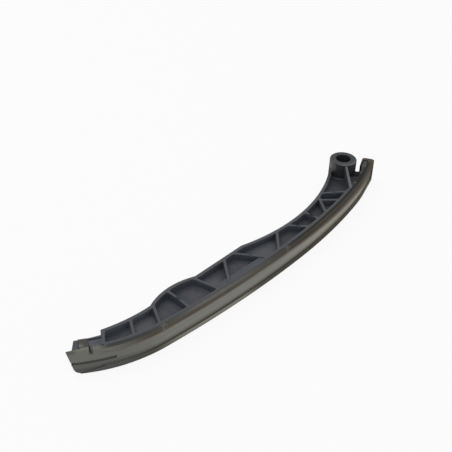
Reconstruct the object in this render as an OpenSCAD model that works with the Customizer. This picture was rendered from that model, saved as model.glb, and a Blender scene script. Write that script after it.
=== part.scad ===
// Timing chain guide: a ribbed carrier that swings on a pivot boss, faced with a slide shoe.
// It lies on its side. The origin is on the pivot axis, halfway across the carrier, the long
// axis runs along X and the shoe faces -Y.

/* [Running curve] */
// Distance from the pivot axis to the seat of the shoe
seat_drop = 17; // [15:0.5:21]
// Turn of that distance below the long axis, degrees
seat_turn = 70.5; // [68:0.5:73]
// Length of the seat from there to the finger tip
finger_len = 18; // [16:0.5:20]
// Radius of the seat beside the pivot
pivot_r = 155; // [140:5:170]
// Length of that arc, behind the pivot
pivot_len = 20.6; // [16:0.2:25]
// Radius of the middle stretch
mid_r = 500; // [440:20:560]
// Length of the middle stretch
mid_len = 83.8; // [78:0.2:90]
// Radius of the long, nearly straight stretch
rear_r = 900; // [800:20:1000]
// Length of the long stretch
rear_len = 131.5; // [126:0.5:137]
// Radius of the lead-in nose
nose_r = 106; // [100:1:112]
// Length of the lead-in nose
nose_len = 60.4; // [58:0.2:63]

/* [Back of the carrier] */
// Distance of the tensioner pad below the pivot axis
pad_drop = 9.9; // [9:0.1:11]
// Distance from the pivot axis to the near end of the pad
pad_near = 134; // [128:0.5:140]
// Length of the tensioner pad
pad_len = 46.8; // [42:0.2:50]
// Radius of the hump behind the pad
hump_r = 51; // [46:1:60]
// Rise of the hump over the pad
hump_rise = 4.4; // [3.4:0.2:5]
// Radius of the hollow between pad and boss
hollow_r = 161; // [150:1:175]
// Radius of the tail behind the hump
tail_r = 118; // [110:2:150]
// Reach of the rim behind the pivot axis
rim_reach = 258.6; // [256:0.2:260]

/* [Carrier walls] */
// Width of the carrier across its flanges
carrier_w = 16; // [14:0.5:17]
// Thickness of the flange that backs the shoe
seat_t = 2.4; // [1.6:0.1:2.8]
// Thickness of the rim on the hollow side
rim_t = 2.6; // [1.8:0.1:3]
// Thickness of the web
web_t = 3; // [2:0.2:4]
// Height of the web's upper face over the middle of the carrier
web_top = 3.3; // [2.7:0.1:4]
// Thickness of the ribs
rib_t = 1.9; // [1.4:0.1:2.4]
// Depth of the thick shelf across from the pad
shelf_d = 6; // [4:0.5:8]
// Drop from the edge of the flange to the shelf
shelf_drop = 0.7; // [0.3:0.1:1.5]

/* [Pivot boss] */
// Diameter of the pivot bore
bore_d = 11.5; // [9:0.5:13]
// Diameter of the boss
boss_d = 20.6; // [18:0.2:22]
// Height of the boss over the middle of the carrier
boss_top = 15.8; // [13:0.2:18]
// Depth of the boss below the middle of the carrier
boss_foot = 9.5; // [9:0.1:12]
// Radius of the round end of the slot beside the finger
slot_r = 2; // [1.6:0.1:2.3]
// Thickness of the finger
finger_t = 3.3; // [2.8:0.1:3.6]

/* [Tongue] */
// Thickness of the tongue that carries the clip strap
tongue_t = 8.2; // [6:0.2:10]
// Width of the tongue, from the seat to its edge
tongue_w = 14; // [12.8:0.1:14.4]
// Narrowing of the tongue towards its free end
tongue_taper = 1.3; // [0.6:0.1:1.8]

/* [Shoe] */
// Width of the shoe across its lips
shoe_w = 17.4; // [17.2:0.1:20]
// Thickness of the running plate
plate_t = 1.7; // [1.2:0.1:2.4]
// Height of the lips over the running face
lip_h = 1.2; // [0.6:0.1:1.8]
// Width of each lip
lip_w = 3.4; // [2:0.1:4]
// Width of the oil groove in the nose
groove_w = 2; // [1.2:0.1:2.6]
// Length over which the outer face runs straight to the finger tip
toe_len = 22; // [16:1:24]
// Thickness of the clip strap and of the hook
strap_t = 1.2; // [0.8:0.1:1.6]
// Width of the clip strap
strap_w = 5.8; // [4:0.2:7]

/* [Fits] */
// Clearance between the shoe and the carrier
seat_gap = 0.3; // [0.1:0.05:0.5]

/* [Hidden] */
$fn = 96;
// overrun of every cut past the face that it opens
over = 2;
boss_r = boss_d / 2;
bore_r = bore_d / 2;
half = carrier_w / 2;
// degrees in an arc as long as its radius
rad = 180 / PI;
function u(a) = [cos(a), sin(a)];
// Points along an arc, in n steps
function arc_pts(c, r, a0, a1, n) = [for (i = [0:n]) c + r * u(a0 + (a1 - a0) * i / n)];
function backward(pts) = [for (i = [len(pts) - 1:-1:0]) pts[i]];

// Seat curve: four arcs that share their normals. Polar angles, each seen from its arc's
// own centre: the foot below the pivot, the finger tip, the joints and the far end.
a_foot = -seat_turn;
a_tip = a_foot + finger_len / pivot_r * rad;
a_mid = a_foot - pivot_len / pivot_r * rad;
a_rear = a_mid - mid_len / mid_r * rad;
a_nose = a_rear - rear_len / rear_r * rad;
a_end = a_nose - nose_len / nose_r * rad;
c_pivot = (seat_drop - pivot_r) * u(a_foot);
c_mid = c_pivot + (pivot_r - mid_r) * u(a_mid);
c_rear = c_mid + (mid_r - rear_r) * u(a_rear);
c_nose = c_rear + (rear_r - nose_r) * u(a_nose);
// Points of the curve at a height over the seat, from a place on the nose to the finger
function seat_pts(h, from, to = a_tip) = concat(
    arc_pts(c_nose, nose_r + h, from, a_nose, 16),
    arc_pts(c_rear, rear_r + h, a_nose, a_rear, 12),
    arc_pts(c_mid, mid_r + h, a_rear, a_mid, 10),
    arc_pts(c_pivot, pivot_r + h, a_mid, to, 8));
// The same for the outside of the shoe, which runs on straight over the toe. Where fade is
// given, it sinks by that much towards the free end of the nose.
function toe_lift(a) = pow(max(0, (a - a_tip) / rad * pivot_r + toe_len), 2) / pivot_r / 2;
fade_turn = 17;
function sink(a) = pow(min(1, max(0, 1 - (a - a_end) / fade_turn)), 2);
function outer_pts(h, from, fade = 0) = concat(
    [for (i = [0:16]) let (a = from + (a_nose - from) * i / 16)
        c_nose + (nose_r + h - fade * sink(a)) * u(a)],
    arc_pts(c_rear, rear_r + h, a_nose, a_rear, 12),
    arc_pts(c_mid, mid_r + h, a_rear, a_mid, 10),
    [for (i = [0:12]) let (a = a_mid + (a_tip - a_mid) * i / 12)
        c_pivot + (pivot_r + h + toe_lift(a)) * u(a)]);
// Height of the seat over the long axis, at a place along it
function low_y(c, r, x) = c.y - sqrt(r * r - (x - c.x) * (x - c.x));
function seat_y(x) = x < (c_rear + rear_r * u(a_nose)).x ? low_y(c_nose, nose_r, x)
                   : x < (c_mid + mid_r * u(a_rear)).x ? low_y(c_rear, rear_r, x)
                   : x < (c_pivot + pivot_r * u(a_mid)).x ? low_y(c_mid, mid_r, x)
                   : low_y(c_pivot, pivot_r, x);

// Rim curve: tail, hump, straight pad and hollow, from the far end to the boss.
// turn of the boss shoulder, where the hollow ends
shoulder_turn = 142;
pad_far = pad_near + pad_len;
p_near = [-pad_near, -pad_drop];
p_boss = boss_r * u(shoulder_turn);
chord = norm(p_boss - p_near);
along = (p_boss - p_near) / chord;
c_hollow = (p_near + p_boss) / 2
         + sqrt(hollow_r * hollow_r - chord * chord / 4) * [-along.y, along.x];
hump_half = sqrt(hump_r * hump_r - (hump_r - hump_rise) * (hump_r - hump_rise));
c_hump = [-pad_far - hump_half, hump_rise - pad_drop - hump_r];
x_tail = c_hump.x - hump_half;
c_tail = [x_tail, tail_r - pad_drop];
function rim_y(x) = x < x_tail ? low_y(c_tail, tail_r, x)
                  : x < -pad_far ? c_hump.y + sqrt(hump_r * hump_r - (x - c_hump.x) * (x - c_hump.x))
                  : x < -pad_near ? -pad_drop
                  : low_y(c_hollow, hollow_r, x);
function between(x0, x1, n) = [for (i = [0:n]) x0 + (x1 - x0) * i / n];
rim_stations = concat(between(-rim_reach, x_tail, 7), between(x_tail, -pad_far, 10),
                      between(-pad_far, -pad_near, 1), between(-pad_near, p_boss.x, 20));
// Points of the rim at a depth below its outer face
function rim_pts(d) = [for (x = rim_stations) [x, rim_y(x) - d]];

// Ribs, from the pivot end to the tail, as shares of the rim's reach: where each leaves the
// rim and where it meets the seat. The third figure is 1 where its crown has a vent notch, and
// the last is the share of the run that is left out, where the rib starts on its neighbour.
rib_shares = [[0.166, 0.0975, 1, 0], [0.205, 0.150, 0, 0.22], [0.178, 0.237, 0, 0],
              [0.275, 0.2715, 1, 0], [0.363, 0.317, 1, 0], [0.395, 0.470, 0, 0],
              [0.563, 0.505, 1, 0], [0.589, 0.664, 0, 0], [0.709, 0.695, 0, 0],
              [0.7885, 0.798, 1, 0], [0.847, 0.892, 0, 0], [0.922, 0.963, 0, 0]];
// width and depth of a vent notch
vent_w = 1.4;
vent_d = 0.7;
// The wall that closes the last pocket: its turn around the nose's centre, at the seat
a_wall = a_end + 11;
p_wall = c_nose + nose_r * u(a_wall);
// shelf between the feet of two ribs
shelf_ends_share = [0.695, 0.505];
// boss rib: its turn, where it meets the seat, and how far under the boss's top it starts
spur_turn = -132.5;
spur_reach = 30;
spur_under = 1;
// block beside the boss rib: turn and distance of its two free corners
block_turns = [-121, -102.5];
block_near = 14.3;
block_far = 16.4;
// middle of the slot's round end, between the boss and the finger
slot_turn = -31;
slot_strip = 0.8;
slot_at = (boss_r + slot_r + slot_strip) * u(slot_turn);
// wall of the hook past the finger's round tip, and the tip's place
tip_wall = 2;
a_finger = a_tip - tip_wall / pivot_r * rad;
tip_at = c_pivot + (pivot_r - finger_t / 2) * u(a_finger);
// inner leg of the shoe's hook under the finger: its length, its radius and the room round it
hook_len = 10.5;
hook_in = pivot_r - finger_t - seat_gap;
a_hook = a_tip - hook_len / pivot_r * rad;
hook_room = seat_gap / pivot_r * rad;
finger_blend = 2;

module prism(w, pts) {
    translate([0, 0, -w / 2]) linear_extrude(w) polygon(pts);
}
// Band around the nose's centre, between two depths below the seat
module nose_band(w, d0, d1, from, to) {
    prism(w, concat(arc_pts(c_nose, nose_r - d0, from, to, 6),
                    arc_pts(c_nose, nose_r - d1, to, from, 6)));
}
// Upright slab from one place in the plan to another
module slab(p, q, t, w, past) {
    d = norm(q - p);
    translate([p.x, p.y, 0]) rotate([0, 0, atan2(q.y - p.y, q.x - p.x)])
        translate([-past, -t / 2, -w / 2]) cube([d + 2 * past, t, w]);
}

module web(pts) {
    translate([0, 0, web_top - web_t]) linear_extrude(web_t) polygon(pts);
}

// Plan of the ribbed body, to the middle of its two flanges. Beside the slot its edge steps
// round the inner leg of the shoe's hook.
body_plan = concat(rim_pts(rim_t / 2),
                   [[0, 0], slot_at, c_pivot + (hook_in - strap_t - seat_gap) * u(a_hook - hook_room)],
                   backward(seat_pts(-seat_t / 2, a_wall, a_hook - hook_room)));

module flanges() {
    prism(carrier_w, concat(seat_pts(0, a_wall, a_finger),
                            arc_pts(tip_at, finger_t / 2, a_finger, a_finger + 180, 10),
                            arc_pts(c_pivot, pivot_r - finger_t, a_finger, a_hook - hook_room, 6),
                            backward(seat_pts(-seat_t, a_wall, a_hook - hook_room - finger_blend))));
    prism(carrier_w, concat(rim_pts(0), backward(rim_pts(rim_t))));
    shelf = shelf_ends_share * -rim_reach;
    a0 = -acos((shelf[0] - c_rear.x) / rear_r);
    a1 = -acos((shelf[1] - c_rear.x) / rear_r);
    prism(carrier_w - 2 * shelf_drop,
          concat(arc_pts(c_rear, rear_r - seat_t / 2, a0, a1, 6),
                 arc_pts(c_rear, rear_r - shelf_d, a1, a0, 6)));
}

module ribs() {
    intersection() {
        prism(carrier_w, body_plan);
        union() for (s = rib_shares) {
            top = [-rim_reach * s[0], rim_y(-rim_reach * s[0])];
            foot = [-rim_reach * s[1], seat_y(-rim_reach * s[1])];
            difference() {
                slab(top + s[3] * (foot - top), foot, rib_t, carrier_w, s[3] > 0 ? 0 : over);
                if (s[2] == 1) for (side = [-1, 1])
                    translate([(top.x + foot.x) / 2, (top.y + foot.y) / 2, side * half])
                        cube([vent_w, vent_w + rib_t, 2 * vent_d], center = true);
            }
        }
    }
    slab([rib_t / 2 - rim_reach, rim_y(-rim_reach) - rim_t / 2], p_wall - seat_t / 2 * u(a_wall),
         rib_t, carrier_w, 0);
}

// Tongue behind the end wall: a flat tail with an edge, a groove and a raised block,
// and a waist where the strap of the shoe passes
edge_t = 1.9;
groove_t = 1.6;
tongue_ends = [a_end + 0.2, a_end + 1.6];
strap_a = a_end + 4.9;
strap_half = strap_w / nose_r * rad / 2;
tongue_root = a_wall + 1.5;
// the waist under the strap: its two ends around the nose's centre, and half its thickness
waist = [strap_a - 1.15 * strap_half, strap_a + 1.15 * strap_half];
waist_z = tongue_t / 2 - strap_t;
block_h = 1;
// radius of the tongue's edge around the nose's centre, at a place along it
function edge_r(a) = nose_r - tongue_w + tongue_taper * (tongue_root - a) / (tongue_root - a_end);
module tongue() {
    difference() {
        prism(tongue_t, concat(arc_pts(c_nose, nose_r, tongue_ends[0], tongue_root, 6),
            [for (i = [0:6]) let (a = tongue_root + (tongue_ends[1] - tongue_root) * i / 6)
                c_nose + edge_r(a) * u(a)]));
        for (side = [-1, 1]) translate([0, 0, side * tongue_t / 2])
            nose_band(2 * groove_t, tongue_w - edge_t - groove_t, tongue_w - edge_t,
                      strap_a + 1.1 * strap_half, tongue_root);
        difference() {
            nose_band(tongue_t + over, -over, tongue_w + over, waist[0], waist[1]);
            nose_band(2 * waist_z, -2 * over, nose_r - edge_r(strap_a) - strap_t - seat_gap,
                      waist[0] - 1, waist[1] + 1);
        }
    }
    nose_band(tongue_t + block_h, 0, tongue_w - edge_t - groove_t, waist[1], tongue_root);
}

module boss() {
    bevel = 0.6;
    top = boss_foot + boss_top;
    translate([0, 0, -boss_foot]) rotate_extrude()
        polygon([[0, 0], [boss_r - bevel, 0], [boss_r, bevel], [boss_r, top - bevel],
                 [boss_r - bevel, top], [0, top]]);
    // rib that climbs from the flange to the top of the boss, and the block beside it
    rotate([0, 0, spur_turn]) rotate([90, 0, 0]) translate([0, 0, -rib_t / 2])
        linear_extrude(rib_t)
            polygon([[bore_r + over, -half], [spur_reach, -half], [spur_reach, half],
                     [boss_r, boss_top - spur_under], [bore_r + over, boss_top - spur_under]]);
    far = spur_reach * u(spur_turn);
    prism(carrier_w, [block_near * u(spur_turn), block_near * u(block_turns[0]),
                      block_far * u(block_turns[1]),
                      (seat_drop + seat_t - over) * u(block_turns[1] + 2), far]);
}

// Round nibs on the flange beside the seat: their turns around the centre of the pivot arc
nib_turns = [-70.7, -77.2];
nib_in = 1.1;
nib_d = 1.5;
nib_h = 0.3;
module carrier() {
    color("dimgray") difference() {
        union() {
            flanges();
            ribs();
            difference() {
                web(body_plan);
                translate([slot_at.x, slot_at.y, -half]) cylinder(r = slot_r, h = carrier_w);
            }
            tongue();
            boss();
            for (a = nib_turns) {
                at = c_pivot + (pivot_r - nib_in) * u(a);
                translate([at.x, at.y, -half - nib_h]) cylinder(r = nib_d / 2, h = carrier_w + 2 * nib_h);
            }
        }
        translate([0, 0, -boss_foot - over])
            cylinder(r = bore_r, h = boss_foot + boss_top + 2 * over);
    }
}

// Heights over the seat: back of the shoe, running face and top of the lips
back_h = seat_gap;
face_h = seat_gap + plate_t;
lip_top = face_h + lip_h;
shoe_half = shoe_w / 2;
// loss of height of the lips at the free end of the nose
lip_fade = 0.75 * lip_h;
// mouth of the channel, where the lips open towards the nose: for the lower and the upper lip,
// the places where the channel starts to widen and where the lip runs out
low_mouth = 21;
low_runout = 3;
top_mouth = 24;
top_runout = 13;
// places of the lip notches, as shares of the whole seat
seat_len = finger_len + pivot_len + mid_len + rear_len + nose_len;
lip_notch_shares = [0.188, 0.347, 0.555];
lip_notch_w = 2.4;
lip_notch_d = 0.5;
// corner and slant of the nose's free end
corner_r = 4.5;
nose_slant = 16;
// slant of the finger tip's end, and how far under its top edge the slant starts
tip_slant = 6.5;
tip_slant_drop = 1.5;
tip_slant_z = shoe_half - tip_slant_drop;
corner_z = corner_r - shoe_half;
thin_len = 5.4;
thin_t = 0.9;
corner_at = [(corner_r - corner_z * sin(nose_slant)) / cos(nose_slant), corner_z];
// depth of the oil groove and its drop below the middle
groove_d = 0.8;
groove_drop = 1.1;
a_groove = a_end + 14.7;
// window in the edge of the plate, beside the strap
window_a = a_end + 6.5;
window_w = 2.2;
window_z = 4.4;

// Places a shape on the seat, with X outward, Y along the guide and Z across it
module at_nose(a) {
    translate([c_nose.x, c_nose.y, 0]) rotate([0, 0, a]) translate([nose_r, 0, 0]) children();
}
module at_seat(s) {
    if (s < nose_len) at_nose(a_end + s / nose_r * rad) children();
    else translate([c_rear.x, c_rear.y, 0]) rotate([0, 0, a_nose + (s - nose_len) / rear_r * rad])
        translate([rear_r, 0, 0]) children();
}

// Plan of the shoe: its back, the hook round the finger's tip with its two round corners, and
// its outside back to the nose
hook_r = 2.6;
hook_corners = [pivot_r + lip_top + toe_lift(a_tip) - hook_r, hook_in - strap_t + hook_r];
function shoe_plan(from) = concat(
    seat_pts(back_h, from, a_finger),
    arc_pts(tip_at, finger_t / 2 + seat_gap, a_finger, a_finger + 180, 10),
    arc_pts(c_pivot, hook_in, a_finger, a_hook, 5),
    arc_pts(c_pivot, hook_in - strap_t, a_hook, a_tip, 5),
    arc_pts(c_pivot + hook_corners[1] * u(a_tip), hook_r, a_tip + 180, a_tip + 90, 8),
    arc_pts(c_pivot + hook_corners[0] * u(a_tip), hook_r, a_tip + 90, a_tip, 8),
    backward(outer_pts(lip_top, from, lip_fade)));

// Strap that closes round the tongue, as a section across the guide
module strap() {
    z = waist_z + seat_gap;
    a = 2 * strap_half;
    r_in = edge_r(strap_a);
    translate([c_nose.x, c_nose.y, 0]) rotate([0, 0, strap_a - strap_half])
        rotate_extrude(angle = a) difference() {
            polygon([[nose_r + back_h + plate_t / 2, -shoe_half], [nose_r + back_h + plate_t / 2, shoe_half],
                     [nose_r + back_h - plate_t, shoe_half], [nose_r - 2 * plate_t - strap_t, z + strap_t],
                     [r_in, z + strap_t], [r_in, -z - strap_t],
                     [nose_r - 2 * plate_t - strap_t, -z - strap_t], [nose_r + back_h - plate_t, -shoe_half]]);
            translate([r_in + strap_t, -z]) square([tongue_w - strap_t + back_h, 2 * z]);
        }
}

module shoe() {
    free_a = a_end - 2.5;
    channel = concat(outer_pts(face_h, free_a), backward(outer_pts(lip_top + over, free_a)));
    color("tan") difference() {
        union() {
            prism(shoe_w, shoe_plan(free_a));
            strap();
        }
        prism(shoe_w - 2 * lip_w, channel);
        // open mouth of the channel
        intersection() {
            prism(shoe_w + over, channel);
            at_nose(a_end) rotate([90, 0, 90]) linear_extrude(4 * lip_top, center = true)
                polygon([[low_mouth, lip_w - shoe_half], [low_runout, -shoe_half - over / 4],
                         [-shoe_w, -shoe_half - over / 4], [-shoe_w, shoe_half + over / 4],
                         [top_runout, shoe_half + over / 4], [top_mouth, shoe_half - lip_w]]);
        }
        // oil groove
        translate([0, 0, -groove_drop])
            nose_band(groove_w, groove_d - face_h, -face_h - over, free_a - 1, a_groove);
        at_nose(window_a) translate([-over, -window_w / 2, window_z])
            cube([lip_top + 2 * over, window_w, shoe_w]);
        // slanted end with its round corner
        at_nose(a_end) rotate([nose_slant, 0, 0]) translate([-shoe_w, -shoe_w, -shoe_w])
            cube([2 * shoe_w, shoe_w, 2 * shoe_w]);
        at_nose(a_end) rotate([90, 0, 90]) linear_extrude(2 * shoe_w, center = true) difference() {
            polygon([corner_at, corner_at - (corner_r + over) * u(nose_slant),
                     [-shoe_w, -shoe_w], [corner_at.x, -shoe_w]]);
            translate(corner_at) circle(r = corner_r);
        }
        // back of the free end, thinned to a lead-in edge
        at_nose(a_end) rotate([nose_slant, 0, 0]) linear_extrude(3 * shoe_w, center = true)
            polygon([[back_h, thin_len], [lip_top - lip_fade - thin_t, 0],
                     [lip_top - lip_fade - thin_t, -over], [-over, -over], [-over, thin_len]]);
        translate([c_pivot.x, c_pivot.y, 0]) rotate([0, 0, a_tip]) translate([pivot_r, 0, 0])
            rotate([90, 0, 90]) linear_extrude(2 * shoe_w, center = true)
                polygon([[hook_r + over * tan(tip_slant), tip_slant_z + over],
                         [hook_r + shoe_w, tip_slant_z + over], [hook_r + shoe_w, -shoe_w],
                         [hook_r - (tip_slant_z + shoe_w) * tan(tip_slant), -shoe_w]]);
        for (s = lip_notch_shares) at_seat(s * seat_len)
            translate([lip_top - lip_notch_d, -lip_notch_w / 2, shoe_half - lip_w])
                cube([lip_top, lip_notch_w, 2 * lip_w]);
    }
}

carrier();
shoe();
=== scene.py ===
import math
import bmesh
import bpy
from mathutils import Matrix, Vector
from mathutils.bvhtree import BVHTree
from mathutils.geometry import intersect_point_line


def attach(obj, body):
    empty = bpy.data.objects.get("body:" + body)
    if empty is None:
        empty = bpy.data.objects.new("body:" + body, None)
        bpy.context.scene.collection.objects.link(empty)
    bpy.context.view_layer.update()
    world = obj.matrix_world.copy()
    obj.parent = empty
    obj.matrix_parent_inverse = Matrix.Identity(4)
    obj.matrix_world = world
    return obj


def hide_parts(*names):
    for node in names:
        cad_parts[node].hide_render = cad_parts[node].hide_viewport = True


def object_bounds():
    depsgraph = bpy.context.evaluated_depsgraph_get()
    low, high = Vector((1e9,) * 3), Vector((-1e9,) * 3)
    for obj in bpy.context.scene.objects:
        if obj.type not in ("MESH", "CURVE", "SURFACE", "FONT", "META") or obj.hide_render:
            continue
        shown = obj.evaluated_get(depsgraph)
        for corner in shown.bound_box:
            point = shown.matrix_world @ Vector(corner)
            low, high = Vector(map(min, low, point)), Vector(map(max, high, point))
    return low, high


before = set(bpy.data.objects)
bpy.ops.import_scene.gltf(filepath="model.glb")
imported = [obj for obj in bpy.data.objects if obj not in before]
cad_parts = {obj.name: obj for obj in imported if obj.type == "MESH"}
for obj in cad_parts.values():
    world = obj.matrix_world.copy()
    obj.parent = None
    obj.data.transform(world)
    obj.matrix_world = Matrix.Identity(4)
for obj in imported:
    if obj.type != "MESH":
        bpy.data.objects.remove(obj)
cad_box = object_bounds()

# The carrier: the load-bearing back of the guide, one dark moulding of glass-filled nylon with
# rim, web, slanted ribs, pivot boss, finger and tongue. A steel mould made it, so its pockets
# have round corners and all its edges are a little round; use has rubbed them. Painted light
# and shade on it stand in for some of the lighting.
mm = 0.001


class Wire:
    """One output socket of a node, with the arithmetic of Math nodes."""

    def __init__(self, graph, socket):
        self.graph = graph
        self.socket = socket

    def maths(self, operation, a, b):
        return self.graph.node("Math", {"operation": operation}, {0: a, 1: b})

    def __add__(self, other):
        return self.maths("ADD", self, other)

    __radd__ = __add__

    def __sub__(self, other):
        return self.maths("SUBTRACT", self, other)

    def __rsub__(self, other):
        return self.maths("SUBTRACT", other, self)

    def __mul__(self, other):
        return self.maths("MULTIPLY", self, other)

    __rmul__ = __mul__

    def __or__(self, other):
        return self.maths("MAXIMUM", self, other)

    def __abs__(self):
        return self.maths("ABSOLUTE", self, 0.0)


class Graph:
    """A node tree, and the one method that adds nodes to it."""

    def __init__(self, tree):
        self.nodes = tree.nodes
        self.links = tree.links

    def node(self, kind, settings=None, inputs=None, out=0):
        made = self.nodes.new("ShaderNode" + kind)
        for key, value in (settings or {}).items():
            setattr(made, key, value)
        for key, value in (inputs or {}).items():
            self.feed(made.inputs[key], value)
        return Wire(self, made.outputs[out])

    def feed(self, socket, value):
        if isinstance(value, Wire):
            self.links.new(value.socket, socket)
        else:
            socket.default_value = value

    def background_rays(self):
        """1 for rays that see the background: the camera's, reflected ones and those through glass."""
        rays = self.node("LightPath").socket.node.outputs
        seen, glossy, through = (Wire(self, rays["Is %s Ray" % kind])
                                 for kind in ("Camera", "Glossy", "Transmission"))
        return seen | glossy | through


class Finish(Graph):
    """A material in the making: a Principled shader and the nodes that feed it."""

    def __init__(self, name, **constants):
        self.material = bpy.data.materials.new(name)
        self.material.use_nodes = True
        super().__init__(self.material.node_tree)
        self.nodes.clear()
        self.shader = self.nodes.new("ShaderNodeBsdfPrincipled")
        output = self.nodes.new("ShaderNodeOutputMaterial")
        self.links.new(self.shader.outputs["BSDF"], output.inputs["Surface"])
        self.set(**constants)

    def set(self, **values):
        for socket, value in values.items():
            self.feed(self.shader.inputs[socket.replace("_", " ")], value)

    def place(self, centre=(0.0, 0.0, 0.0), stretch=(1.0, 1.0, 1.0)):
        """Object coordinates in metres from a centre, stretched by a Mapping node."""
        raw = self.node("TexCoord", out="Object")
        shift = tuple(-c * s for c, s in zip(centre, stretch))
        return self.node("Mapping", None, {"Vector": raw, "Location": shift, "Scale": stretch})

    def axes(self, vector):
        split = self.node("SeparateXYZ", None, {"Vector": vector}).socket.node
        return [Wire(self, split.outputs[axis]) for axis in "XYZ"]

    def length(self, vector):
        return self.node("VectorMath", {"operation": "LENGTH"}, {0: vector}, out="Value")

    def seat(self):
        """Length along the seat from the free end of the nose, and height over the seat."""
        return self.axes(self.node("UVMap", {"uv_map": "seat"}, out="UV"))[:2]

    def ridge(self):
        """+1 on rounded outer edges, -1 in rounded inner ones, 0 elsewhere."""
        return self.node("Attribute", {"attribute_name": "ridge"}, out="Fac")

    def noise(self, scale, detail, where=None):
        vector = self.place() if where is None else where
        return self.node("TexNoise", None, {"Vector": vector, "Scale": scale, "Detail": detail, "Roughness": 0.55})

    def ramp(self, value, low, high):
        """0 on the low side, 1 on the high side, smooth between; low may lie above high."""
        return self.node("MapRange", {"interpolation_type": "SMOOTHSTEP"},
                         {"Value": value, "From Min": low, "From Max": high})

    def rise(self, value, low, high):
        """The same ramp between two lengths in millimetres."""
        return self.ramp(value, low * mm, high * mm)

    def near(self, centre, reach, soft=0.5):
        """1 close to a place on the piece, 0 past its reach, in millimetres."""
        away = self.length(self.place([c * mm for c in centre]))
        return self.rise(away, reach, reach * (1.0 - soft))

    def blend(self, share, a, b):
        """Colour a where share is 0, colour b where it is 1."""
        mixed = self.node("Mix", {"data_type": "RGBA"}, {"Factor": share}, out=2)
        for socket, value in ((6, a), (7, b)):
            self.feed(mixed.socket.node.inputs[socket], (*value, 1.0) if isinstance(value, tuple) else value)
        return mixed

    def layered(self, colour, *coats):
        """A colour under coats, each of them a share and a colour, the last one on top."""
        for share, coat in coats:
            colour = self.blend(share, colour, coat)
        return colour

    def relief(self, height, depth):
        return self.node("Bump", None, {"Height": height, "Distance": depth, "Strength": 1.0})


def outward(turn):
    return Vector((math.cos(turn), math.sin(turn)))


# The seat of the shoe: four arcs that share their normals, from the finger tip to the nose,
# each with its radius and length in millimetres. The seat passes the pivot axis at a distance
# of seat_reach, on the normal at seat_normal, and runs on past it by tip_length.
arcs = ((155.0, 38.6), (500.0, 83.8), (900.0, 131.5), (106.0, 60.4))
seat_reach = 17.0
seat_normal = math.radians(-70.5)
tip_length = 18.0
past = arcs[0][0]
centre = outward(seat_normal) * (seat_reach - past)
turn = seat_normal + tip_length / past
run = sum(length for _, length in arcs)
seat_arcs = []
for radius, length in arcs:
    centre = centre + outward(turn) * (past - radius)
    seat_arcs.append((centre, radius, turn, turn - length / radius, run))
    turn -= length / radius
    run -= length
    past = radius


def along_seat(place):
    """Length along the seat and height over it, in millimetres, of a place in metres."""
    for centre, radius, start, end, run in seat_arcs:
        out = place.xy / mm - centre
        turn = math.atan2(out.y, out.x)
        if turn >= end:
            break
    return run - (start - turn) * radius, out.length - radius


# an edge between two faces that turn by more than this is a real one
edge_turn = math.radians(24)


def upright(edge):
    a, b = (vert.co for vert in edge.verts)
    return abs(a.z - b.z) > 2.0 * mm and (a.xy - b.xy).length < 0.05 * mm


def hollow(edge):
    return len(edge.link_faces) == 2 and edge.calc_face_angle_signed(0.0) < -edge_turn


def room(edge):
    """Least reach of the two faces away from their edge, and their width at the middle of a long edge."""
    start, end = (vert.co for vert in edge.verts)
    along = (end - start).normalized()
    widths = [max((v.co - start).cross(along).length for v in face.verts) for face in edge.link_faces]
    if edge.calc_length() > 10.0 * mm:
        middle = (start + end) / 2
        around = {other for face in edge.link_faces for other in face.edges}
        for a, b in (other.verts for other in around if not set(other.verts) & set(edge.verts)):
            close, share = intersect_point_line(middle, a.co, b.co)
            if 0.0 < share < 1.0:
                widths.append((close - middle).length)
    return min(widths)


def round_edges(shape, edges, radius, segments, clamp):
    return bmesh.ops.bevel(shape, geom=edges, offset=radius, offset_type="OFFSET", affect="EDGES",
                           profile=0.5, segments=segments, material=-1, clamp_overlap=clamp, loop_slide=True)


def round_pockets(shape, radius):
    """Rounds the upright inner corners one by one, each as far as its own walls let it."""
    facet_turn = 0.14
    clear = 1.8 * radius
    for corner in [e for e in shape.edges if upright(e) and hollow(e)]:
        here = corner.verts[0].co.xy.copy()
        for wall in list(corner.link_faces):
            # joints between the facets of a curved wall would stop the rounding
            joints = [e for e in wall.edges if e is not corner and upright(e)
                      and e.calc_face_angle(math.pi) < facet_turn
                      and (e.verts[0].co.xy - here).length < clear]
            bmesh.ops.dissolve_edges(shape, edges=joints, use_verts=True)
        if corner.is_valid:
            round_edges(shape, [corner], radius, 5, True)


def close_up(shape):
    """Mends what rounding leaves at narrow corners: doubled points, flaps, holes and folds."""
    hair = 0.004 * mm
    bmesh.ops.remove_doubles(shape, verts=shape.verts, dist=hair)
    bmesh.ops.dissolve_degenerate(shape, edges=shape.edges, dist=hair)
    flaps = [f for f in shape.faces
             if any(len(e.link_faces) > 2 for e in f.edges) and any(e.is_boundary for e in f.edges)]
    bmesh.ops.delete(shape, geom=flaps, context="FACES")
    bmesh.ops.holes_fill(shape, edges=[e for e in shape.edges if e.is_boundary], sides=6)
    bmesh.ops.triangulate(shape, faces=[f for f in shape.faces if len(f.verts) > 4])
    # a point with only two edges is the tip of a fold without room
    tips = {v: v.link_edges[0].other_vert(v) for v in shape.verts if len(v.link_edges) == 2}
    bmesh.ops.weld_verts(shape, targetmap=tips)


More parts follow.
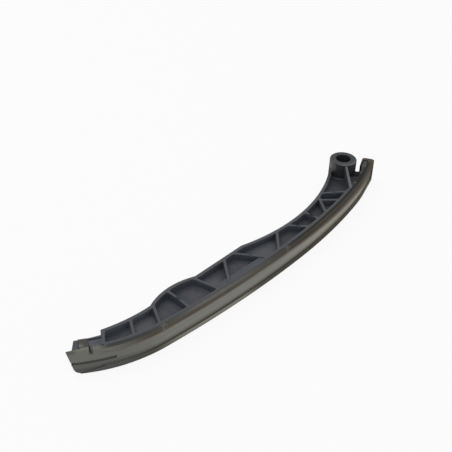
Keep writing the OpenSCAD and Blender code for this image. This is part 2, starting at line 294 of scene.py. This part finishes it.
def moulding(node, name, radius, pockets=0.0):
    """A clean copy of a CAD node's mesh, with every moulded edge rounded by its radius."""
    shape = bmesh.new()
    shape.from_mesh(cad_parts[node].data)
    ridge = shape.verts.layers.float.new("ridge")
    seat = shape.loops.layers.uv.new("seat")
    bmesh.ops.remove_doubles(shape, verts=shape.verts, dist=0.03 * mm)
    bmesh.ops.dissolve_degenerate(shape, edges=shape.edges, dist=0.01 * mm)
    bmesh.ops.dissolve_limit(shape, angle_limit=math.radians(0.4), verts=shape.verts, edges=shape.edges)
    if pockets:
        round_pockets(shape, pockets)
    skin = BVHTree.FromBMesh(shape)
    sharp = [e for e in shape.edges if len(e.link_faces) == 2 and e.calc_face_angle(0.0) > edge_turn
             and room(e) > 2.2 * radius]
    rounded = round_edges(shape, sharp, radius, 2, False)
    # where a rounding ran past a narrow corner, its point goes back to the moulding's skin
    for vert in rounded["verts"]:
        place, _, _, away = skin.find_nearest(vert.co)
        if away > radius:
            vert.co = place
    shape.normal_update()
    strip = set(rounded["faces"])
    for vert in rounded["verts"]:
        if all(face in strip for face in vert.link_faces):
            around = sum((edge.other_vert(vert).co - vert.co for edge in vert.link_edges), Vector())
            vert[ridge] = 1.0 if vert.normal.dot(around) < 0 else -1.0
    close_up(shape)
    for face in shape.faces:
        face.smooth = True
        for loop in face.loops:
            loop[seat].uv = [value * mm for value in along_seat(loop.vert.co)]
    for edge in shape.edges:
        edge.smooth = len(edge.link_faces) == 2 and edge.calc_face_angle(0.0) < math.radians(50)
    mesh = bpy.data.meshes.new(name)
    shape.to_mesh(mesh)
    shape.free()
    piece = bpy.data.objects.new(name, mesh)
    bpy.context.scene.collection.objects.link(piece)
    even = piece.modifiers.new("even shading", "WEIGHTED_NORMAL")
    even.keep_sharp = True
    even.weight = 50
    return piece


carrier = moulding("carrier", "guide_carrier", 0.22 * mm, 1.3 * mm)
nylon = Finish("dark moulded nylon", Specular_IOR_Level=0.35)
z = nylon.axes(nylon.place())[2]
s, h = nylon.seat()
radial = nylon.length(nylon.place(stretch=(1.0, 1.0, 0.0)))
ridge = nylon.ridge()
mottle = nylon.noise(38.0, 4.0)
blotch = nylon.noise(130.0, 3.0)
grain = nylon.noise(1500.0, 3.0)
fibres = nylon.noise(420.0, 2.0, nylon.place(stretch=(1.0, 5.0, 1.0)))
spots = nylon.ramp(nylon.noise(330.0, 2.0), 0.55, 0.65)

# the pockets' floor with three patches of painted light, the crowns of ribs and flanges, and the walls between
web_top, flange_top = 3.3, 8.0
floor = nylon.rise(z, web_top - 0.3, web_top - 0.1) * nylon.rise(z, web_top + 0.5, web_top + 0.1)
crown = nylon.rise(z, flange_top - 0.3, flange_top - 0.1)
wall = (1.0 - floor) * (1.0 - crown)
tail = nylon.rise(s, 80, 40) * nylon.rise(s, 17, 20)
pocket_light = sum(nylon.near((px, py, web_top), reach, 0.7) for px, py, reach in
           ((-234.0, -14.0, 17.0), (-176.0, -20.0, 11.0), (-121.0, -18.0, 16.0)))

# the boss: painted shade on its barrel, in its bore, in the pit beside its rib and low down near
# it; the ring on top, with a painted highlight on its front edge; a painted highlight on its
# upper left side; the painted arc of light at its foot; and the darker flange near it
boss_r, boss_top = 10.3, 15.8
on_boss = nylon.rise(radial, boss_r + 0.3, boss_r + 0.1)
off_boss = nylon.rise(radial, boss_r, boss_r + 0.3)
barrel = on_boss * nylon.rise(z, boss_top - 0.4, boss_top - 1.0) | nylon.rise(radial, 6.2, 5.9)
ring = on_boss * nylon.rise(z, boss_top - 0.8, boss_top - 0.3)
lit = ring * nylon.rise(radial, 8.6, 9.8) * nylon.near((-4.0, -9.0, boss_top), 10.0)
side_highlight = nylon.near((-9.6, 3.4, 11.5), 5.5, 0.7) * (0.3 + blotch)
arc = (nylon.rise(abs(radial - 10.8 * mm), 0.7, 0.3) * nylon.rise(z, 4.2, 3.7)
       * nylon.near((-10.2, -3.4, 3.4), 7.0, 0.4))
foot = nylon.near((-7.0, -9.0, web_top), 17.0, 0.6) * nylon.rise(z, 7.9, 7.7)
head = nylon.near((-1.0, -15.0, flange_top), 16.0, 0.4) * nylon.rise(radial, 10.5, 10.8)
pit = nylon.near((-0.5, -12.8, 7.0), 5.5) * off_boss
spur = nylon.rise(z + radial * 0.34, 17.3, 17.9) * off_boss * nylon.rise(z, 7.9, 8.2)

# the nibs, the finger, the tongue's block, and the painted shadow in the seam beside the shoe
nibs = nylon.near((3.36, -14.6, 8.3), 1.4) | nylon.near((-12.0, -20.0, 8.3), 1.4)
finger = nylon.rise(s, 290, 297) * nylon.rise(h, -6.5, -5.5) * crown
block = nylon.rise(s, 18.5, 17.5) * nylon.rise(s, 8.0, 9.0) * nylon.rise(z, 4.3, 4.5)
seam_shadow = nylon.rise(h, -1.5, -0.7) * nylon.rise(s, 20, 60) * (0.45 + 0.5 * nylon.rise(s, 160, 250))

plain = nylon.blend(nylon.ramp(mottle * 0.6 + grain * 0.4, 0.38, 0.62),
                    (0.036, 0.040, 0.049), (0.055, 0.059, 0.070))
# the floors' colour: patchy in tone, lighter than the rest as painted light, darker towards the finger
floor_light_and_tone = nylon.layered(
    nylon.blend(nylon.ramp(blotch, 0.4, 0.65), (0.046, 0.055, 0.068), (0.074, 0.070, 0.083)),
    (nylon.rise(s, 150, 230) * 0.5, (0.030, 0.031, 0.037)),
)
colour = nylon.layered(
    plain,
    # painted light on the floors and walls, stronger on the walls near the nose and on three patches of floor, and
    # painted shade on the crowns
    (floor * 0.8, floor_light_and_tone),
    (wall * 0.7, nylon.blend(tail, (0.052, 0.062, 0.076), (0.092, 0.108, 0.126))),
    (crown * 0.75, (0.034, 0.035, 0.042)),
    (pocket_light * floor * 0.7, (0.108, 0.113, 0.122)),
    (block * 0.8, nylon.blend(spots, (0.078, 0.078, 0.096), (0.17, 0.17, 0.19))),
    # rubbed edges, and rounded inner corners darker
    (nylon.ramp(ridge, 0.2, 0.9) * (0.15 + grain * 0.45), (0.12, 0.12, 0.125)),
    (nylon.ramp(ridge, -0.2, -0.9) * 0.5, (0.030, 0.030, 0.030)),
    # a painted shadow in the seam beside the shoe; painted shade on the boss's barrel, in its bore, low down near
    # it and in the pit; its ring and the flange beside it darker
    (seam_shadow, (0.012, 0.016, 0.017)),
    (barrel * 0.9 | foot * 0.6 | head * 0.85 | ring * 0.35, (0.016, 0.017, 0.020)),
    (pit, (0.006, 0.006, 0.007)),
    (finger * 0.75, nylon.blend(blotch, (0.020, 0.025, 0.020), (0.080, 0.084, 0.078))),
    # painted highlights on the boss rib's top edge, on the front edge of the boss's ring, on the arc at its foot
    # and on its upper left side; the nibs lighter
    (spur * 0.55 | nibs * 0.7, (0.20, 0.20, 0.205)),
    (lit * 0.6 | arc * 0.6, (0.15, 0.15, 0.155)),
    (side_highlight * 0.7, (0.17, 0.17, 0.165)),
)
nylon.set(
    Base_Color=colour,
    Roughness=0.42 + mottle * 0.18 + grain * 0.10 + floor * 0.06 + (head | pit) * 0.3,
    Normal=nylon.relief(grain + fibres * 0.6, 0.05 * mm),
)
carrier.data.materials.append(nylon.material)
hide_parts("carrier")
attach(carrier, "root")

# The shoe: the slide face that the chain runs on, a moulding of unfilled wear nylon, hooked
# round the finger and strapped round the tongue. The chain has polished its running face in
# long streaks, and oil has browned its lips; their inner corners are darker. Painted light and
# shade on it stand in for some of the lighting.
shoe = moulding("shoe", "guide_shoe", 0.16 * mm)
# the clip strap's two end faces, pressed a little wider into the waist of the tongue
strap_middle, strap_past, under_seat, widening = 9.07, 25.0, -0.6, 0.3
cheeks = bmesh.new()
cheeks.from_mesh(shoe.data)
bend = seat_arcs[-1][0] * mm
for vert in cheeks.verts:
    along, over = along_seat(vert.co)
    if over < under_seat and along < strap_past:
        out = vert.co.xy - bend
        wider = math.copysign(widening * mm / out.length, along - strap_middle)
        vert.co.xy = bend + Matrix.Rotation(wider, 2) @ out
cheeks.to_mesh(shoe.data)
cheeks.free()

wear = Finish("oil-stained wear nylon", Specular_IOR_Level=0.3)
z = wear.axes(wear.place())[2]
s, h = wear.seat()
lane, wide = (wear.node("CombineXYZ", None, {"X": s * along, "Y": z * across, "Z": h * over})
              for along, across, over in ((14.0, 1500.0, 300.0), (9.0, 420.0, 100.0)))
ridge = wear.ridge()
streaks = wear.noise(1.0, 4.0, lane)
bands = wear.noise(1.0, 2.0, wide)
cloud = wear.noise(30.0, 3.0)
speck = wear.noise(700.0, 2.0)

# the running face between the lips, the outer sides, the lower lip paler in its middle, the
# painted highlight on the inner edge of the upper lip, its notches, and a painted shadow along
# the plate's edge beside the carrier
channel, half_width = 5.3, 8.7
track = wear.rise(abs(z), channel + 0.05, channel - 0.1) * wear.rise(h, 1.2, 1.6)
flank = wear.rise(abs(z), half_width - 0.25, half_width - 0.1)
low_lip = wear.rise(z, -channel, -channel - 0.2)
pale_middle = wear.rise(s, 45, 80) * wear.rise(s, 150, 125) | wear.rise(s, 262, 305) * 0.45
inner = (wear.rise(z, channel - 0.15, channel - 0.05) * wear.rise(z, channel + 0.3, channel + 0.15)
         * wear.rise(s, 20, 40))
notches = (sum(wear.rise(abs(s - place * mm), 2.4, 1.4) for place in (59.1, 109.1, 174.4))
           * wear.rise(z, channel, channel + 0.3))
edge_shadow = wear.rise(h, 1.3, 0.6) * wear.rise(s, 20, 60) * (0.5 + 0.4 * wear.rise(s, 160, 250))

# brown oil along the upper lip, which spreads over the face towards the finger
creep = ((s - 145 * mm) | 0.0) * 0.035 + ((s - 280 * mm) | 0.0) * 0.11
spread = (wear.rise(z + creep + (streaks - 0.5) * 0.7 * mm, 2.2, 5.9)
          * wear.rise(s, 12, 34))
oily = wear.rise(s, 140, 200) * (1.0 - track * (1.0 - spread))

# the nose with the painted shade of its oil groove and painted shade on its tip, the strap with a painted
# highlight, and the hook
groove_shade = wear.rise(abs(z + 1.1 * mm), 1.15, 0.75) * wear.rise(s, 28, 26) * wear.rise(h, 0.7, 1.0)
below = wear.rise(z, -1.9, -2.3) * wear.rise(s, 60, 15)
shade = wear.rise(s, 5, 1) * wear.rise(z, 5.0, 7.5)
strap = wear.rise(h, -0.4, -0.8) * wear.rise(s, 30, 20)
spot = wear.near((-273.8, -3.2, 4.0), 2.6, 0.7)
hook = wear.rise(s, 308, 313) * flank
rosy = wear.near((21.2, -6.3, 8.7), 4.5)
inside = wear.rise(h, -2.0, -3.0) * wear.rise(s, 280, 290) * (1.0 - flank)

pale = wear.blend(wear.ramp(streaks, 0.35, 0.65), (0.262, 0.248, 0.196), (0.345, 0.330, 0.270))
face = wear.layered(
    wear.blend(wear.ramp(streaks * 0.5 + bands * 0.5, 0.36, 0.64), (0.170, 0.168, 0.147), (0.215, 0.213, 0.187)),
    (wear.rise(s, 150, 240), pale),
    (wear.rise(s, 80, 25), (0.142, 0.142, 0.128)),
    # painted shade on the lower half of the face, except near the finger
    (wear.rise(z, -2.4, -5.8) * wear.rise(s, 300, 200) * 0.35, (0.060, 0.058, 0.048)),
)
stain = wear.layered(
    wear.blend(wear.ramp(cloud * 0.7 + speck * 0.3, 0.4, 0.6), (0.044, 0.033, 0.018), (0.066, 0.052, 0.031)),
    (wear.rise(s, 130, 175) * 0.7, (0.036, 0.029, 0.018)),
    (wear.rise(s, 55, 16), (0.150, 0.148, 0.128)),
)
paler_side = wear.rise(s, 60, 90) * wear.rise(s, 165, 105)
edge = wear.rise(h, 1.5, 2.4) * wear.rise(s, 140, 220)
# the outer sides: paler in the middle, darker towards both ends and nearly black towards the finger
side = wear.layered(
    wear.blend(paler_side, (0.020, 0.021, 0.021), (0.088, 0.088, 0.078)),
    (wear.rise(s, 24, 14), (0.15, 0.148, 0.13)),
    (wear.ramp(cloud, 0.4, 0.65) * 0.25, (0.100, 0.098, 0.082)),
    (wear.rise(s, 150, 200) * 0.95, (0.007, 0.008, 0.006)),
    (edge * 0.8, wear.blend(cloud, (0.040, 0.031, 0.019), (0.076, 0.062, 0.041))),
)
colour = wear.layered(
    wear.blend(flank, stain, side),
    (track, face),
    (low_lip * 0.85, wear.blend(pale_middle, (0.050, 0.047, 0.037), (0.240, 0.233, 0.202))),
    # painted highlight on the upper lip's inner edge
    (inner * 0.55, (0.32, 0.24, 0.155)),
    (notches * (0.15 + speck * 0.4), (0.15, 0.147, 0.13)),
    (spread * 0.92 * track, wear.blend(cloud, (0.046, 0.036, 0.022), (0.078, 0.062, 0.041))),
    (below * 0.75, wear.blend(wear.rise(z, -4.2, -6.2), (0.090, 0.093, 0.088), (0.078, 0.083, 0.078))),
    # painted shade in the nose's oil groove
    (groove_shade * 0.85, (0.046, 0.047, 0.044)),
    (strap * 0.9, wear.blend(speck * 0.5 + cloud * 0.5, (0.018, 0.018, 0.015), (0.062, 0.060, 0.053))),
    # a painted highlight on the strap, and painted shade on the nose's tip
    (spot * 0.45, (0.24, 0.24, 0.22)),
    (shade * 0.5, (0.045, 0.047, 0.045)),
    # painted shadow along the plate's edge beside the carrier
    (edge_shadow, (0.014, 0.018, 0.016)),
    # rubbed edges, and rounded inner corners darker
    (wear.ramp(ridge, 0.3, 0.9) * 0.2 * (1.0 - low_lip), (0.26, 0.24, 0.19)),
    (wear.ramp(ridge, -0.2, -0.8) * 0.35, (0.035, 0.032, 0.026)),
    # the hook: brown outside, rosy on its top corner, dark inside
    (hook * 0.8, wear.blend(speck, (0.058, 0.048, 0.030), (0.100, 0.086, 0.058))),
    (rosy * 0.8, wear.blend(speck, (0.080, 0.040, 0.034), (0.135, 0.090, 0.080))),
    (inside * 0.7, (0.050, 0.036, 0.028)),
)
wear.set(
    Base_Color=colour,
    Roughness=0.50 - track * 0.14 + streaks * 0.16 + oily * 0.22,
    Normal=wear.relief(streaks * (0.3 + track) + speck * 0.3, 0.03 * mm),
)
shoe.data.materials.append(wear.material)
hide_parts("shoe")
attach(shoe, "root")

# The table and the light: a white table top under a plain white sky, with one large soft lamp
# behind the guide and a weak one in front. The background is white to the camera and in
# reflections, and the table keeps the guide's shadow.
ground = cad_box[0][2]
top = bmesh.new()
bmesh.ops.create_grid(top, x_segments=1, y_segments=1, size=4.0, matrix=Matrix.Translation((0, 0, ground)))
table_mesh = bpy.data.meshes.new("table")
top.to_mesh(table_mesh)
top.free()
table = bpy.data.objects.new("table", table_mesh)
bpy.context.scene.collection.objects.link(table)
white = Finish("white table", Roughness=0.9, Base_Color=(0.8, 0.8, 0.8, 1.0))
glow = white.node("Emission", None, {"Color": (1.0, 1.0, 1.0, 1.0), "Strength": 1.0})
lacquer = Wire(white, white.shader.outputs["BSDF"])
shown = white.node("MixShader", None, {0: white.background_rays() * 0.9, 1: lacquer, 2: glow})
white.feed(white.nodes["Material Output"].inputs["Surface"], shown)
table.data.materials.append(white.material)

world = bpy.data.worlds.new("studio")
bpy.context.scene.world = world
world.use_nodes = True
sky = Graph(world.node_tree)
background = sky.nodes["Background"]
background.inputs["Color"].default_value = (1.0, 1.0, 1.0, 1.0)
strength = sky.node("MapRange", None, {"Value": sky.background_rays(), "To Min": 0.7, "To Max": 1.0})
sky.feed(background.inputs["Strength"], strength)

target = Vector((-0.13, -0.01, 0.0))
for name, spot, size, power in (("back", (-0.25, 0.62, 0.95), 0.9, 2.5),
                                ("front", (-0.75, -0.7, 0.45), 1.2, 1.5)):
    lamp_data = bpy.data.lights.new(name, "AREA")
    lamp_data.size = size
    lamp_data.energy = power
    lamp = bpy.data.objects.new(name, lamp_data)
    lamp.location = spot
    lamp.rotation_euler = (target - Vector(spot)).to_track_quat("-Z", "Y").to_euler()
    bpy.context.scene.collection.objects.link(lamp)

# The camera: it looks down on the nose and along the shoe, as a hand-held camera would.
stand = Matrix.Translation((-0.547484, -0.331119, 0.384325))
right = Vector((0.650716, -0.758252, 0.040260))
up = Vector((0.409549, 0.395126, 0.822280))
back = Vector((-0.639404, -0.518583, 0.567657))
camera_data = bpy.data.cameras.new("camera")
camera_data.lens = 75.66
camera_data.sensor_width = 36.0
camera_data.clip_start = 0.01
camera = bpy.data.objects.new("camera", camera_data)
camera.matrix_world = stand @ Matrix((right, up, back)).transposed().to_4x4()
bpy.context.scene.collection.objects.link(camera)
bpy.context.scene.camera = camera
bpy.context.scene.view_settings.view_transform = "Standard"
